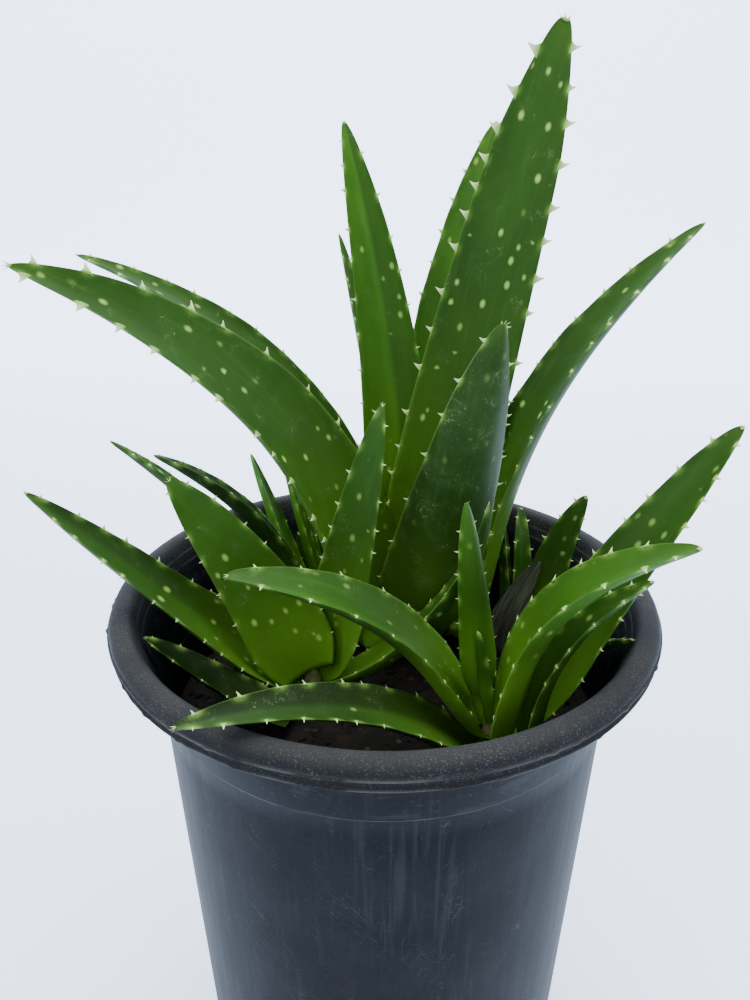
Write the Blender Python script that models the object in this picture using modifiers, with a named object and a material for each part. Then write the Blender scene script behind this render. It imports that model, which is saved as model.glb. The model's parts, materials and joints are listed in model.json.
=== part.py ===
"""Potted aloe: a mother rosette and four offsets in a one gallon nursery pot.

Metres, +Z up. The origin is the centre of the pot's flat underside, -Y is the front.
Every leaf, every stem, the potting mix and the pot is an object of its own.
"""
import math
from collections import namedtuple

import bmesh
import bpy
from mathutils import Matrix, Vector

MM = 0.001
GAP = 0.3 * MM

# Pot: radii and heights in millimetres
POT_HEIGHT = 178.0
POT_LIP_R = 83.5
POT_LIP_Z = 172.6
POT_WALL_TOP_R = 71.0
POT_BASE_R = 63.0
POT_WALL = 1.4
POT_FLOOR = 1.6
POT_STEP_Z = 149.7
POT_STEP = 0.5
POT_STEPS_ROUND = 60
DRAIN_HOLES = 6
DRAIN_SIZE = (9.0, 14.0, 12.0)

# Potting mix
SOIL_TOP = 137.0
SOIL_DISH = 2.0
SOIL_FOOT = 14.0

# A stem's profile: height above the mix, radius as a share of the stem's own
STEM_PROFILE = [(1.0, 0.45), (0.6, 0.8), (0.0, 1.0), (-0.6, 0.9), (-1.6, 0.6), (-2.6, 0.3)]
STEM_UNIT = 9.0

# Leaf sections: share of the length at each ring, and the places across a face
RINGS = [0.0, 0.08, 0.18, 0.3, 0.43, 0.56, 0.68, 0.79, 0.88, 0.945, 0.985]
TOP_FACE = [-0.62, 0.0, 0.62]
UNDER_FACE = [0.82, 0.42, 0.0, -0.42, -0.82]
TOP_SHARE = 0.1
CLASP = 15.0
NECK_WIDTH = 0.6
NECK_THICK = 0.5
NECK_END = 0.25

Plant = namedtuple("Plant", "name centre stem_r")

PLANTS = {
    "mother": Plant("mother", (12, 40), 6.0),
    "left": Plant("left_pup", (-24, 4), 4.0),
    "front": Plant("front_pup", (33, -22), 4.0),
    "right": Plant("right_pup", (50, 27), 3.0),
    "rear": Plant("rear_pup", (-24, 35), 3.5),
}

# A leaf's row: its plant; its seat (distance and direction from the stem's axis, height above
# the mix); the straight line from seat to tip (direction, rise, length); how far its middle
# stands above and to the left of that line; its width, thickness, half angle of the channel,
# roll at seat and tip, and how fast it narrows. Degrees and millimetres.
Leaf = namedtuple("Leaf", "plant seat chord bow width thick channel roll taper")

LEAVES = {
    "mother_leaf_01": Leaf("mother", (1, 250, 16), (13, 77.5, 189), (2, 0), 38, 7, 25, (65, 65), 0.34),
    "mother_leaf_02": Leaf("mother", (14, 112, 12), (154, 82, 163), (6, 0), 36, 5, 55, (-60, -60), 0.55),
    "mother_leaf_03": Leaf("mother", (15, 67, 8), (50, 80, 168), (6, 8), 30, 5, 45, (0, 0), 0.5),
    "mother_leaf_04": Leaf("mother", (22, 338, 8), (358, 66, 151), (17, 0), 34, 6, 46, (15, 25), 0.6),
    "mother_leaf_05": Leaf("mother", (21, 213, 8), (210, 53, 166), (24, 0), 46, 7, 40, (-60, -50), 0.6),
    "mother_leaf_06": Leaf("mother", (20, 148, 7), (193, 55, 158), (26, 0), 28, 6, 40, (-30, -30), 0.6),
    "mother_leaf_07": Leaf("mother", (23, 103, 6), (133, 75, 135), (4, 0), 17, 4, 45, (0, 0), 0.55),
    "mother_leaf_08": Leaf("mother", (17, 276, 8), (303, 74, 120), (-4, -4), 43, 7, 35, (-20, -20), 0.5),
    "mother_leaf_09": Leaf("mother", (28, 174, 4), (166, 63, 108), (12, 0), 22, 5, 40, (-20, -20), 0.6),
    "mother_leaf_10": Leaf("mother", (21, 45, 4), (50, 72, 90), (3, 0), 18, 5, 40, (0, 0), 0.6),
    "mother_leaf_11": Leaf("mother", (22, 84, 4), (88, 84, 70), (0, 0), 14, 3, 40, (0, 0), 0.6),
    "left_pup_leaf_01": Leaf("left", (10, 215, 6), (195, 47, 101), (0, 0), 24, 5, 45, (-30, -30), 0.6),
    "left_pup_leaf_02": Leaf("left", (5, 260, 9), (186, 61, 79), (3, 0), 32, 5, 35, (-75, -75), 0.5),
    "left_pup_leaf_03": Leaf("left", (6, 355, 10), (335, 78, 93), (0, 0), 24, 5, 35, (90, 90), 0.55),
    "left_pup_leaf_04": Leaf("left", (8, 335, 4), (350, 55, 83), (-10, 0), 16, 4, 45, (0, 0), 0.55),
    "left_pup_leaf_05": Leaf("left", (24, 252, 3), (188, 41, 51), (0, 0), 17, 3, 40, (-10, -10), 0.5),
    "left_pup_leaf_06": Leaf("left", (10, 148, 4), (163, 36, 42), (3, 0), 12, 3, 40, (0, 0), 0.55),
    "front_pup_leaf_01": Leaf("front", (8, 190, 8), (198, 41, 91), (12, 0), 28, 5, 35, (-15, -15), 0.5),
    "front_pup_leaf_02": Leaf("front", (5, 115, 12), (226, 79, 70), (0, 0), 15, 3, 50, (60, 60), 0.5),
    "front_pup_leaf_03": Leaf("front", (10, 285, 9), (332, 58, 84), (14, 0), 26, 5, 45, (20, 20), 0.5),
    "front_pup_leaf_04": Leaf("front", (14, 314, 4), (346, 65, 66), (9, 0), 16, 4, 45, (20, 20), 0.5),
    "front_pup_leaf_05": Leaf("front", (3, 220, 13), (212, 80, 28), (0, 0), 7, 2, 50, (0, 0), 0.35),
    "front_pup_leaf_06": Leaf("front", (12, 20, 6), (358, 62, 106), (2, 0), 30, 5, 40, (30, 30), 0.5),
    "front_pup_leaf_07": Leaf("front", (14, 235, 4), (212, 27, 96), (10, 0), 20, 4, 35, (-20, -20), 0.5),
    "front_pup_leaf_08": Leaf("front", (10, 105, 4), (95, 72, 26), (0, 0), 12, 3, 45, (0, 0), 0.5),
    "right_pup_leaf_01": Leaf("right", (5, 20, 9), (7, 75, 51), (3, 0), 18, 3, 40, (60, 60), 0.45),
    "right_pup_leaf_02": Leaf("right", (6, 100, 8), (89, 65, 41), (2, 0), 11, 3, 40, (30, 30), 0.35),
    "right_pup_leaf_03": Leaf("right", (7, 140, 7), (107, 71, 46), (2, 0), 13, 3, 40, (60, 60), 0.5),
    "right_pup_leaf_04": Leaf("right", (9, 305, 4), (287, 35, 62), (0, 1), 9, 3, 50, (0, 0), 0.5),
    "right_pup_dry_leaf": Leaf("right", (14, 215, 4), (20, 65, 36), (2, 0), 14, 2, 20, (60, 60), 0.5),
    "rear_pup_leaf_01": Leaf("rear", (10, 262, 4), (200, 58, 90), (12, 0), 20, 5, 45, (0, 0), 0.55),
    "rear_pup_leaf_02": Leaf("rear", (9, 180, 6), (194, 53, 93), (6, 0), 15, 4, 45, (0, 0), 0.55),
    "rear_pup_leaf_03": Leaf("rear", (6, 125, 9), (170, 72, 62), (0, 0), 13, 4, 45, (0, 0), 0.55),
    "rear_pup_leaf_04": Leaf("rear", (7, 318, 10), (176, 76, 61), (0, 0), 10, 3, 45, (0, 0), 0.55),
    "rear_pup_leaf_05": Leaf("rear", (11, 115, 3), (115, 76, 32), (0, 0), 12, 3, 45, (0, 0), 0.55),
}

# Plain colours: red, green, blue, roughness
COLOURS = {
    "pot": (0.025, 0.028, 0.034, 0.45),
    "mix": (0.020, 0.014, 0.010, 0.95),
    "stem": (0.16, 0.20, 0.06, 0.6),
    "leaf": (0.07, 0.20, 0.04, 0.42),
    "dry": (0.12, 0.11, 0.08, 0.8),
}


def clear_scene():
    for thing in list(bpy.data.objects):
        bpy.data.objects.remove(thing, do_unlink=True)


def new_collection(name):
    group = bpy.data.collections.new(name)
    bpy.context.scene.collection.children.link(group)
    return group


def plain_material(name, kind):
    red, green, blue, roughness = COLOURS[kind]
    material = bpy.data.materials.new(name)
    material.use_nodes = True
    shader = material.node_tree.nodes["Principled BSDF"]
    shader.inputs["Base Color"].default_value = (red, green, blue, 1.0)
    shader.inputs["Roughness"].default_value = roughness
    shader.inputs["Metallic"].default_value = 0.0
    return material


def add_object(name, mesh, group, kind):
    thing = bpy.data.objects.new(name, mesh)
    group.objects.link(thing)
    if kind:
        mesh.materials.append(plain_material(name, kind))
    return thing


def turned(name, profile, group, kind, steps=POT_STEPS_ROUND):
    """A turned solid: the profile, in millimetres, runs down its outer side."""
    mesh = bpy.data.meshes.new(name)
    points = [(r * MM, 0.0, z * MM) for r, z in profile]
    edges = [(i, i + 1) for i in range(len(points) - 1)]
    mesh.from_pydata(points, edges, [])
    thing = add_object(name, mesh, group, kind)
    screw = thing.modifiers.new("turn", "SCREW")
    screw.steps = steps
    screw.render_steps = steps
    screw.use_merge_vertices = True
    screw.merge_threshold = 0.00001
    screw.use_smooth_shade = True
    return thing


def wall_radius(z):
    """Outer radius of the pot's wall at a height."""
    return POT_BASE_R + (POT_WALL_TOP_R - POT_BASE_R) * z / POT_LIP_Z


def pot_profile():
    """From the middle of the floor, up the inside, over the rolled rim and down the outside."""
    inner_foot = wall_radius(0.0) - POT_WALL - 1.0
    outside = [
        (POT_LIP_R - 3.5, POT_HEIGHT),
        (POT_LIP_R - 1.3, POT_HEIGHT - 1.1),
        (POT_LIP_R - 0.4, POT_HEIGHT - 3.0),
        (POT_LIP_R, POT_LIP_Z),
        (POT_LIP_R - 0.9, POT_LIP_Z - 1.4),
        (POT_LIP_R - 6.0, POT_LIP_Z - 2.2),
        (POT_WALL_TOP_R + 1.6, POT_LIP_Z - 4.6),
        (POT_WALL_TOP_R + 0.3, POT_LIP_Z - 8.0),
        (wall_radius(POT_STEP_Z) + POT_STEP, POT_STEP_Z),
        (wall_radius(POT_STEP_Z), POT_STEP_Z - 0.6),
        (wall_radius(3.0), 3.0),
        (wall_radius(0.0) - 1.6, 0.0),
        (0.0, 0.0),
    ]
    inside = [
        (0.0, POT_FLOOR),
        (inner_foot, POT_FLOOR),
        (wall_radius(4.0) - POT_WALL, 4.0),
        (wall_radius(POT_STEP_Z) - POT_WALL, POT_STEP_Z),
        (wall_radius(POT_STEP_Z) - POT_WALL + 0.9, POT_STEP_Z + 8.0),
        (POT_LIP_R - 11.6, POT_LIP_Z - 7.0),
        (POT_LIP_R - 9.2, POT_LIP_Z - 0.6),
        (POT_LIP_R - 7.3, POT_HEIGHT - 1.6),
        (POT_LIP_R - 6.0, POT_HEIGHT - 0.3),
    ]
    return inside + outside


def subtract(thing, cutter):
    cutter.hide_render = True
    cutter.display_type = "WIRE"
    cut = thing.modifiers.new("cut_" + cutter.name, "BOOLEAN")
    cut.operation = "DIFFERENCE"
    cut.solver = "EXACT"
    cut.object = cutter


def make_pot(group, cutters):
    pot = turned("pot", pot_profile(), group, "pot")
    for number in range(DRAIN_HOLES):
        angle = 2.0 * math.pi * (number + 0.5) / DRAIN_HOLES
        mesh = bpy.data.meshes.new("drain_cutter")
        block = bmesh.new()
        bmesh.ops.create_cube(block, size=1.0)
        bmesh.ops.scale(block, vec=Vector(DRAIN_SIZE) * MM, verts=block.verts)
        block.to_mesh(mesh)
        block.free()
        cutter = add_object(f"drain_cutter_{number + 1}", mesh, cutters, None)
        radius = POT_BASE_R * MM
        cutter.location = (radius * math.cos(angle), radius * math.sin(angle), 0.0)
        cutter.rotation_euler = (0.0, 0.0, angle)
        subtract(pot, cutter)
    return pot


def stem_profile(radius, grow=0.0):
    points = [(0.0, SOIL_TOP + STEM_PROFILE[0][0] * STEM_UNIT + grow)]
    for height, share in STEM_PROFILE:
        points.append((radius * share + grow, SOIL_TOP + height * STEM_UNIT))
    points.append((0.0, SOIL_TOP + STEM_PROFILE[-1][0] * STEM_UNIT - grow))
    return points


def make_soil(group, cutters):
    radius = wall_radius(SOIL_TOP) - POT_WALL - GAP / MM
    foot = wall_radius(POT_FLOOR) - POT_WALL - GAP / MM
    profile = [
        (0.0, SOIL_TOP),
        (radius * 0.6, SOIL_TOP - SOIL_DISH * 0.4),
        (radius - 0.4, SOIL_TOP - SOIL_DISH),
        (wall_radius(SOIL_FOOT) - POT_WALL - 0.6, SOIL_FOOT),
        (foot - SOIL_FOOT, POT_FLOOR + 0.4),
        (0.0, POT_FLOOR + 0.4),
    ]
    soil = turned("potting_mix", profile, group, "mix", steps=40)
    for plant in PLANTS.values():
        cutter = turned(plant.name + "_pocket", stem_profile(plant.stem_r, 0.3), cutters, None, 16)
        cutter.location = (plant.centre[0] * MM, plant.centre[1] * MM, 0.0)
        subtract(soil, cutter)
    return soil


def make_stem(plant, group):
    stem = turned(plant.name + "_stem", stem_profile(plant.stem_r), group, "stem", 16)
    stem.location = (plant.centre[0] * MM, plant.centre[1] * MM, 0.0)
    return stem


def direction(azimuth, rise=0.0):
    a = math.radians(azimuth)
    e = math.radians(rise)
    return Vector((math.cos(e) * math.cos(a), math.cos(e) * math.sin(a), math.sin(e)))


def leaf_seat(leaf):
    """The middle of a leaf's foot, in millimetres."""
    plant = PLANTS[leaf.plant]
    reach, side, lift = leaf.seat
    return Vector((plant.centre[0], plant.centre[1], SOIL_TOP + lift)) + direction(side) * reach


def leaf_spine(leaf, t):
    """A point on the leaf's middle line and its direction there, in millimetres."""
    aim, rise, length = leaf.chord
    arch, sway = leaf.bow
    chord = direction(aim, rise)
    left = Vector((0.0, 0.0, 1.0)).cross(chord).normalized()
    bow = chord.cross(left) * arch + left * sway
    point = leaf_seat(leaf) + chord * (length * t) + bow * (4.0 * t * (1.0 - t))
    along = chord * length + bow * (4.0 * (1.0 - 2.0 * t))
    return point, along.normalized()


def neck(t, least):
    """The foot is smaller than the blade: a share that grows from least to 1."""
    return 1.0 - (1.0 - least) * max(0.0, 1.0 - t / NECK_END) ** 2


def leaf_section(leaf, t):
    """The closed outline at one ring: across the channelled top, back along the rounded under."""
    centre, along = leaf_spine(leaf, t)
    side = Vector((0.0, 0.0, 1.0)).cross(direction(leaf.chord[0]))
    side = (side - along * side.dot(along)).normalized()
    roll = leaf.roll[0] + (leaf.roll[1] - leaf.roll[0]) * t
    side = Matrix.Rotation(math.radians(roll), 3, along) @ side
    up = along.cross(side)
    narrow = (1.0 - t) ** leaf.taper
    half = 0.5 * leaf.width * neck(t, NECK_WIDTH) * narrow
    thick = leaf.thick * neck(t, NECK_THICK) * min(1.0, narrow ** 0.8 + 0.05)
    bend = math.radians(leaf.channel + CLASP * max(0.0, 1.0 - t / NECK_END) ** 2)
    reach = half / bend

    def place(v, lift):
        return centre + side * (reach * math.sin(bend * v)) + up * (reach * (1.0 - math.cos(bend * v)) + lift)

    points = [place(-1.0, 0.0)]
    points += [place(v, TOP_SHARE * thick * (1.0 - v * v)) for v in TOP_FACE]
    points.append(place(1.0, 0.0))
    points += [place(v, -(1.0 - TOP_SHARE) * thick * (1.0 - v * v) ** 0.75) for v in UNDER_FACE]
    return points


def loft(name, sections, tip):
    """A closed skin over sections of equal count, closed flat at the seat and to a point at the tip."""
    skin = bmesh.new()
    rings = [[skin.verts.new(point * MM) for point in section] for section in sections]
    count = len(rings[0])
    for lower, upper in zip(rings, rings[1:]):
        for i in range(count):
            j = (i + 1) % count
            skin.faces.new((lower[j], lower[i], upper[i], upper[j]))
    peak = skin.verts.new(tip * MM)
    for i in range(count):
        skin.faces.new((rings[-1][(i + 1) % count], rings[-1][i], peak))
    skin.faces.new(rings[0])
    mesh = bpy.data.meshes.new(name)
    bmesh.ops.triangulate(skin, faces=skin.faces[:])
    bmesh.ops.recalc_face_normals(skin, faces=skin.faces[:])
    skin.to_mesh(mesh)
    skin.free()
    return mesh


def make_leaf(name, leaf, group):
    sections = [leaf_section(leaf, t) for t in RINGS]
    tip = leaf_spine(leaf, 1.0)[0]
    mesh = loft(name, sections, tip)
    mesh.shade_smooth()
    kind = "dry" if "dry" in name else "leaf"
    return add_object(name, mesh, group, kind)


def main():
    clear_scene()
    group = new_collection("potted_aloe")
    cutters = new_collection("cutters")
    make_pot(group, cutters)
    make_soil(group, cutters)
    for plant in PLANTS.values():
        make_stem(plant, group)
    for name, leaf in LEAVES.items():
        make_leaf(name, leaf, group)


main()
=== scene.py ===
"""Potted aloe: leaves, stems, potting mix, pot and stage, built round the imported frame."""
import json
import math

import bmesh
import bpy
import numpy as np
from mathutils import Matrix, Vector

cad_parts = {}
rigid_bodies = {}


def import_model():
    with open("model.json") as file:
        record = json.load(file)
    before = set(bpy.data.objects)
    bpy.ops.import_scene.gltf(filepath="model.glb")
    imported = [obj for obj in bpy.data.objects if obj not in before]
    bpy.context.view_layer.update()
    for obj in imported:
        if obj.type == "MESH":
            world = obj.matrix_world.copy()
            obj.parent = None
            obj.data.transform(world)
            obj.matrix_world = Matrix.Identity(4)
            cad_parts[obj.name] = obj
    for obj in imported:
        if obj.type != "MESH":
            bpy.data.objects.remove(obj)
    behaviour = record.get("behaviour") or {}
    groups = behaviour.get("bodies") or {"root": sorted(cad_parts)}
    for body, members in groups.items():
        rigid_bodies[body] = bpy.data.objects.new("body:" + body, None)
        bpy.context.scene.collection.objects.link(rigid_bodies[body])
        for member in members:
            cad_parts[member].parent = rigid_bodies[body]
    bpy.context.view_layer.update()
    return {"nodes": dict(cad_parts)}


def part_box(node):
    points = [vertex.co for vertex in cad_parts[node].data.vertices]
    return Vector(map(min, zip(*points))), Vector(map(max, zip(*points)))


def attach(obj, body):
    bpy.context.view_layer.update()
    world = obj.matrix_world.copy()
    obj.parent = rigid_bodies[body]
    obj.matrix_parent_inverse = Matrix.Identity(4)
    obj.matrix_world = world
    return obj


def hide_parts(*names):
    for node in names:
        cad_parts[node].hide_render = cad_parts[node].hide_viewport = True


bl_info = {
    "name": "Potted Aloe",
    "version": (1, 0, 0),
    "blender": (4, 5, 0),
    "location": "3D View > Sidebar > Aloe",
    "description": "Builds the leaves, stems, potting mix, pot and stage of a potted aloe",
    "category": "Object",
}

for leftover in list(bpy.data.objects):
    bpy.data.objects.remove(leftover, do_unlink=True)
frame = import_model()
MM = 0.001
RANDOM_TURN = 6.28

POT_LOW, POT_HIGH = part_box("pot")
LIP_R = 0.5 * (POT_HIGH.x - POT_LOW.x)
RIM_Z = POT_HIGH.z
MIX_LOW, MIX_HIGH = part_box("potting_mix")

PLANTS = ("mother", "left_pup", "front_pup", "right_pup", "rear_pup")
DRY_LEAF = "right_pup_dry_leaf"
GREEN_LEAVES = sorted(name for name in frame["nodes"] if "_leaf_" in name)

# A CAD leaf's ring starts at its left margin and crosses the top face to its right margin first
RING_CORNERS = 10
RIGHT_CORNER = 4
# Fine steps from one corner of a ring to the next
SPANS = 4
LEAST_RINGS = 24
# How much closer the rings stand towards the tip, and where the last one is
TIP_CROWDING = 1.35
LAST_SHARE = 0.9995
# How sharply a leaf's width may run out at its tip
FALL_LEAST = 0.3
FALL_MOST = 0.8
LEAST_HALF = 0.12 * MM
BROAD_HALF = 19 * MM
NOSE_START = 0.80
NOSE_RUN = 0.19
USUAL_NOSE = 0.12
SHEATH_STEPS = (0.95, 0.7, 0.45, 0.2)

# Each leaf's youth (0 old and dark, 1 young and yellow-green), dust, spots, painted light and shade (a
# brightness factor: below 1 paints shade on the leaf, above 1 paints light on it) and size of teeth
CHARACTER = {
    "mother_leaf_01": (0.35, 0.25, 1.0, 0.80, 1.15),
    "mother_leaf_02": (0.60, 0.10, 0.7, 1.35, 0.6),
    "mother_leaf_03": (0.50, 0.15, 0.7, 1.25, 0.8),
    "mother_leaf_04": (0.20, 0.40, 1.0, 0.9, 0.7),
    "mother_leaf_05": (0.30, 0.60, 1.0, 1.25, 1.0),
    "mother_leaf_06": (0.30, 0.30, 0.9, 0.9, 0.7),
    "mother_leaf_08": (0.12, 1.00, 0.15, 0.85, 0.7),
    "mother_leaf_09": (0.20, 0.40, 1.0, 0.75, 0.6),
    "left_pup_leaf_01": (0.25, 0.40, 0.9, 1.0, 0.8),
    "left_pup_leaf_02": (0.70, 0.50, 0.9, 0.9, 0.5),
    "left_pup_leaf_03": (0.35, 0.25, 0.5, 0.9, 0.6),
    "left_pup_leaf_05": (0.00, 0.40, 0.0, 0.25, 0.4),
    "front_pup_leaf_01": (0.35, 0.30, 0.4, 1.15, 0.6),
    "front_pup_leaf_02": (0.70, 0.10, 0.2, 1.0, 0.6),
    "front_pup_leaf_03": (0.65, 0.20, 0.5, 1.25, 0.9),
    "front_pup_leaf_04": (0.25, 0.20, 0.5, 0.9, 0.7),
    "front_pup_leaf_05": (0.60, 0.10, 0.0, 0.9, 0.7),
    "front_pup_leaf_06": (0.20, 0.20, 0.5, 0.85, 0.8),
    "front_pup_leaf_07": (0.15, 0.60, 0.5, 0.7, 0.6),
    "right_pup_leaf_03": (0.05, 0.50, 0.2, 0.7, 0.6),
    "rear_pup_leaf_01": (0.05, 0.70, 0.3, 0.6, 0.6),
    "rear_pup_leaf_03": (0.90, 0.10, 0.0, 1.7, 0.4),
    "rear_pup_leaf_04": (0.80, 0.10, 0.1, 1.5, 0.4),
}
# How much the blunter leaves are drawn in towards their tips
NOSES = {"mother_leaf_01": 0.38, "mother_leaf_08": 0.30}
# Painted shade along the length of some leaves, as on the shaded side of a folded leaf: the fold's place
# across the upper face and how dark the painted shade is beyond it
PAINTED_FOLD_SHADE = {
    "mother_leaf_02": (0.10, 0.42),
    "mother_leaf_05": (-1.5, 0.30),
    "front_pup_leaf_01": (-0.45, 0.25),
    "front_pup_leaf_03": (-1.5, 0.30),
    "mother_leaf_03": (0.30, 0.30),
    "left_pup_leaf_01": (0.15, 0.35),
    "front_pup_leaf_07": (0.0, 0.55),
    "rear_pup_leaf_03": (-0.2, 0.35),
}
USUAL_CHARACTER = (0.3, 0.3, 0.6, 0.85, 0.75)

# Each ring of a tooth: height, width, lean and how horny it is
TOOTH_RINGS = (
    (0.0, 1.0, 0.0, 0.0), (0.20, 0.70, 0.02, 0.20), (0.42, 0.42, 0.09, 0.60), (0.70, 0.22, 0.24, 0.90),
    (0.93, 0.08, 0.40, 1.0),
)
TOOTH_SIDES = 8
TOOTH_SINK = 0.5 * MM

STEM_SIDES = 40
STEM_ROWS = 26
MIX_RINGS = 90
MIX_SIDES = 220
MIX_DISH = 2 * MM

# Outside of the pot from the top of the rim down: in from the lip's radius, down from the rim's top (mm)
RIM_OUTSIDE = (
    (5.6, 0.15), (4.6, 0.0), (3.4, 0.1), (2.2, 0.5), (1.3, 1.2), (0.8, 2.1), (0.55, 3.0), (0.5, 3.6),
    (0.10, 3.85), (0.0, 4.15), (0.15, 4.45), (0.90, 4.7), (1.15, 5.3), (1.2, 6.3), (1.15, 6.9),
    (0.70, 7.15), (0.62, 7.45), (0.80, 7.75), (1.7, 7.95), (2.8, 8.4), (4.8, 9.2), (7.0, 10.1), (8.9, 11.3),
    (10.2, 12.8), (10.9, 14.4), (11.3, 16.0),
)
# Inside of the pot from the rim down to the wall
RIM_INSIDE = (
    (6.4, 0.5), (7.2, 1.4), (8.0, 3.0), (9.0, 5.6), (10.2, 9.0), (11.6, 12.6), (13.2, 17.0), (14.0, 21.0),
)
# Drops between which the lip and the second ridge carry flash (mm)
LIP_EDGE = (3.8, 4.5)
SECOND_EDGE = (7.1, 7.8)
# The step line round the wall: how far below the rim and how deep (mm)
STEP_DROP = 28.3
STEP_DEPTH = 0.5
# The wall's outer radius at its foot and at its top, as shares of the lip's
WALL_FOOT_R = 63.0 / 83.5
WALL_TOP_R = 71.0 / 83.5
WALL_TOP_DROP = 5.4
WALL = 1.4 * MM
DRAIN_HOLES = 6
DRAIN_BLOCK = (9 * MM, 14 * MM, 12 * MM)

# The backdrop: half its width, the floor's front and back, and the sweep up into the wall (m)
BACKDROP_HALF = 2.2
FLOOR_FRONT = -1.6
FLOOR_BACK = 1.0
SWEEP_R = 0.6
SWEEP_STEPS = 12
WALL_HEIGHT = 2.4
# What the lights point at
MIDDLE = (0.0, 0.0, RIM_Z)
# Each light: name, place, size, power and colour
LIGHTS = (
    ("top_softbox", (0.05, 0.25, 1.25), 1.1, 20.0, (1.0, 1.0, 1.0)),
    ("left_softbox", (-1.0, -0.5, 0.9), 0.8, 9.0, (0.97, 0.99, 1.0)),
    ("front_softbox", (-0.15, -1.1, 0.75), 0.9, 7.0, (1.0, 1.0, 1.0)),
    ("right_softbox", (1.1, 0.0, 0.7), 0.8, 7.0, (0.95, 0.98, 1.0)),
)
SKY_COLOUR = (0.92, 0.96, 1.0)
SKY_STRENGTH = 0.5


# ---- settings

def colour_setting(name, description, default):
    return bpy.props.FloatVectorProperty(
        name=name, description=description, default=default, size=3, min=0.0, max=1.0, subtype="COLOR")


def length_setting(name, description, default):
    return bpy.props.FloatProperty(
        name=name, description=description, default=default, min=0.0, unit="LENGTH", subtype="DISTANCE")


def share_setting(name, description, default):
    return bpy.props.FloatProperty(
        name=name, description=description, default=default, min=0.0, max=4.0, subtype="FACTOR")


class AloeLeafSettings(bpy.types.PropertyGroup):
    """Sizes and colours of the leaves."""
    ring_step: length_setting("Ring step", "Distance between the rings of a leaf's skin", 1.1 * MM)
    tooth_length: length_setting("Tooth length", "Length of a tooth on the widest leaf", 2.6 * MM)
    tooth_step: length_setting("Tooth step", "Distance between teeth on the widest leaf", 15.0 * MM)
    old_colour: colour_setting("Old blade", "Blade of an old leaf", (0.019, 0.061, 0.007))
    young_colour: colour_setting("Young blade", "Blade of a young leaf", (0.050, 0.160, 0.008))
    foot_colour: colour_setting("Leaf foot", "Pale foot of a leaf", (0.16, 0.38, 0.022))
    under_colour: colour_setting("Underside", "Bluish underside of an old leaf", (0.014, 0.042, 0.006))
    spot_colour: colour_setting("Spots", "Pale spots on the blade", (0.36, 0.62, 0.13))
    tooth_colour: colour_setting("Teeth", "Horny teeth and margin", (0.62, 0.74, 0.42))


class AloePotSettings(bpy.types.PropertyGroup):
    """Sizes and colours of the pot."""
    sides: bpy.props.IntProperty(name="Sides", description="Faces round the pot", default=288, min=24)
    floor: length_setting("Floor", "Thickness of the pot's floor", 1.6 * MM)
    burr: length_setting("Burr", "Height of the ragged flash on the lip", 0.7 * MM)
    plastic: colour_setting("Plastic", "Blue-black pot plastic", (0.0030, 0.0040, 0.0060))
    worn: colour_setting("Worn plastic", "Rubbed and dusty plastic", (0.014, 0.017, 0.022))


class AloeMixSettings(bpy.types.PropertyGroup):
    """Sizes and colours of the potting mix."""
    crumbs: bpy.props.IntProperty(name="Crumbs", description="Loose crumbs on the mix", default=900, min=0)
    crumb_size: length_setting("Crumb size", "Size of the largest crumb", 3.6 * MM)
    relief: length_setting("Relief", "Height of the mix's lumps", 1.4 * MM)
    peat: colour_setting("Peat", "Damp dark peat", (0.0030, 0.0022, 0.0018))
    bark: colour_setting("Bark", "Lighter bark crumbs", (0.016, 0.011, 0.008))


class AloeStageSettings(bpy.types.PropertyGroup):
    """The floor, the lights and the camera."""
    backdrop: colour_setting("Backdrop", "Pale floor and backdrop", (0.72, 0.82, 1.0))
    glow: share_setting("Glow", "Light given off by the backdrop, as if lit from behind", 3.2)
    camera_tilt: bpy.props.FloatProperty(
        name="Camera tilt", description="How far the camera looks down", default=math.radians(23.5),
        subtype="ANGLE", unit="ROTATION")
    camera_turn: bpy.props.FloatProperty(
        name="Camera turn", description="How far the camera is turned to its left", default=math.radians(0.7),
        subtype="ANGLE", unit="ROTATION")
    camera_back: length_setting("Camera distance", "Camera to the pot's axis, along the floor", 232.5 * MM)
    camera_up: length_setting("Camera height", "Camera above the pot's rim", 129.6 * MM)
    lens: bpy.props.FloatProperty(
        name="Lens", description="Focal length", default=30.6, subtype="DISTANCE_CAMERA", unit="CAMERA")


# ---- shader maths

class Value:
    """A node's output. Arithmetic on it adds Math nodes."""

    def __init__(self, finish, socket):
        self.finish = finish
        self.socket = socket

    def math(self, operation, *others):
        return self.finish.math(operation, self, *others)

    def __add__(self, other):
        return self.math("ADD", other)

    def __radd__(self, other):
        return self.finish.math("ADD", other, self)

    def __sub__(self, other):
        return self.math("SUBTRACT", other)

    def __rsub__(self, other):
        return self.finish.math("SUBTRACT", other, self)

    def __mul__(self, other):
        return self.math("MULTIPLY", other)

    def __rmul__(self, other):
        return self.finish.math("MULTIPLY", other, self)

    def __truediv__(self, other):
        return self.math("DIVIDE", other)

    def size(self):
        return self.math("ABSOLUTE")

    def clipped(self):
        return self.finish.node("ShaderNodeClamp", {}, {"Value": self})

    def ramp(self, low, high):
        """0 below low, 1 above high, smooth between."""
        settings = {"interpolation_type": "SMOOTHSTEP"}
        sockets = {"Value": self, "From Min": low, "From Max": high}
        return self.finish.node("ShaderNodeMapRange", settings, sockets)

    def line_at(self, level, inner, outer):
        """1 within inner of the level, 0 further off than outer."""
        return 1.0 - (self - level).size().ramp(inner, outer)

    def parts(self):
        split = self.finish.node("ShaderNodeSeparateXYZ", {}, {"Vector": self})
        return [Value(self.finish, output) for output in split.socket.node.outputs]


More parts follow.
